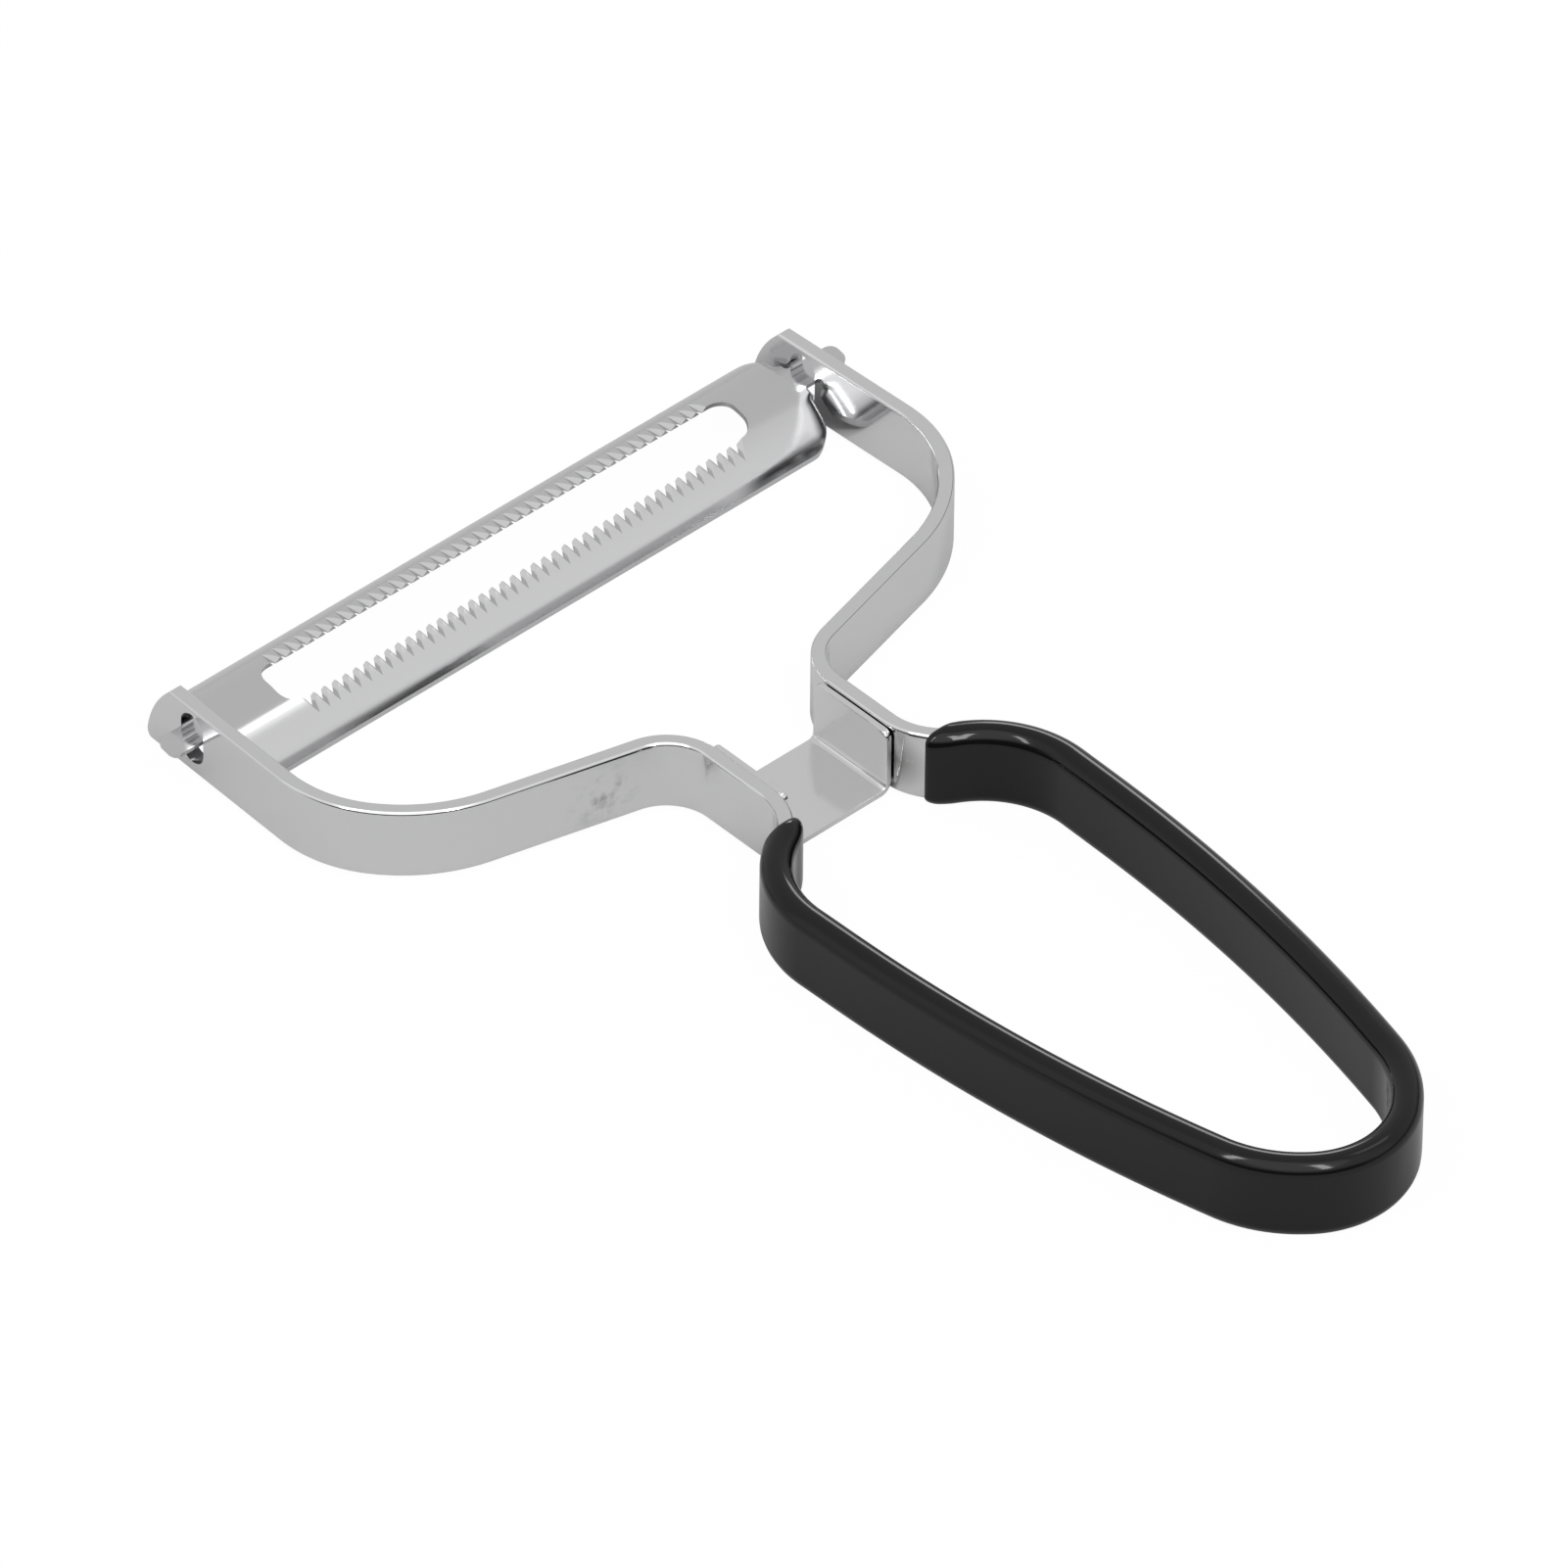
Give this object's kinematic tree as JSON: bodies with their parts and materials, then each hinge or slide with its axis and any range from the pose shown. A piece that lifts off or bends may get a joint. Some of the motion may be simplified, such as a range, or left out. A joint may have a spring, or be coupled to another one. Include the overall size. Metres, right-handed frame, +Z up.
{
  "type": "vegetable peeler",
  "caption": "Wide-head vegetable peeler: a bent metal strip with a dipped loop handle, a neck channel and an arched, toothed blade that swivels between the arms.",
  "frame": {"origin": "under the middle of the bounding box, on the surface that the peeler lies on", "axes": "+Y from the handle loop to the blade, +X to the right across the head, +Z up off the surface"},
  "size_m": [0.109, 0.16, 0.0114],
  "materials": {
    "chromed_strip": "bright chrome plate",
    "dipped_grip": "glossy dipped vinyl",
    "chromed_bracket": "satin chrome plate",
    "stainless_blade": "polished stainless sheet with ground teeth"
  },
  "bodies": {
    "frame": {"frame_strip": "chromed_strip", "grip_sleeve": "dipped_grip", "neck_bracket": "chromed_bracket"},
    "blade": {"swivel_blade": "stainless_blade"}
  },
  "joints": [
    {"name": "blade_swivel", "type": "hinge", "parent": "frame", "child": "blade", "pos_m": [0, 0.07153, 0.0067], "axis": [1, 0, 0], "continuous": true}
  ]
}
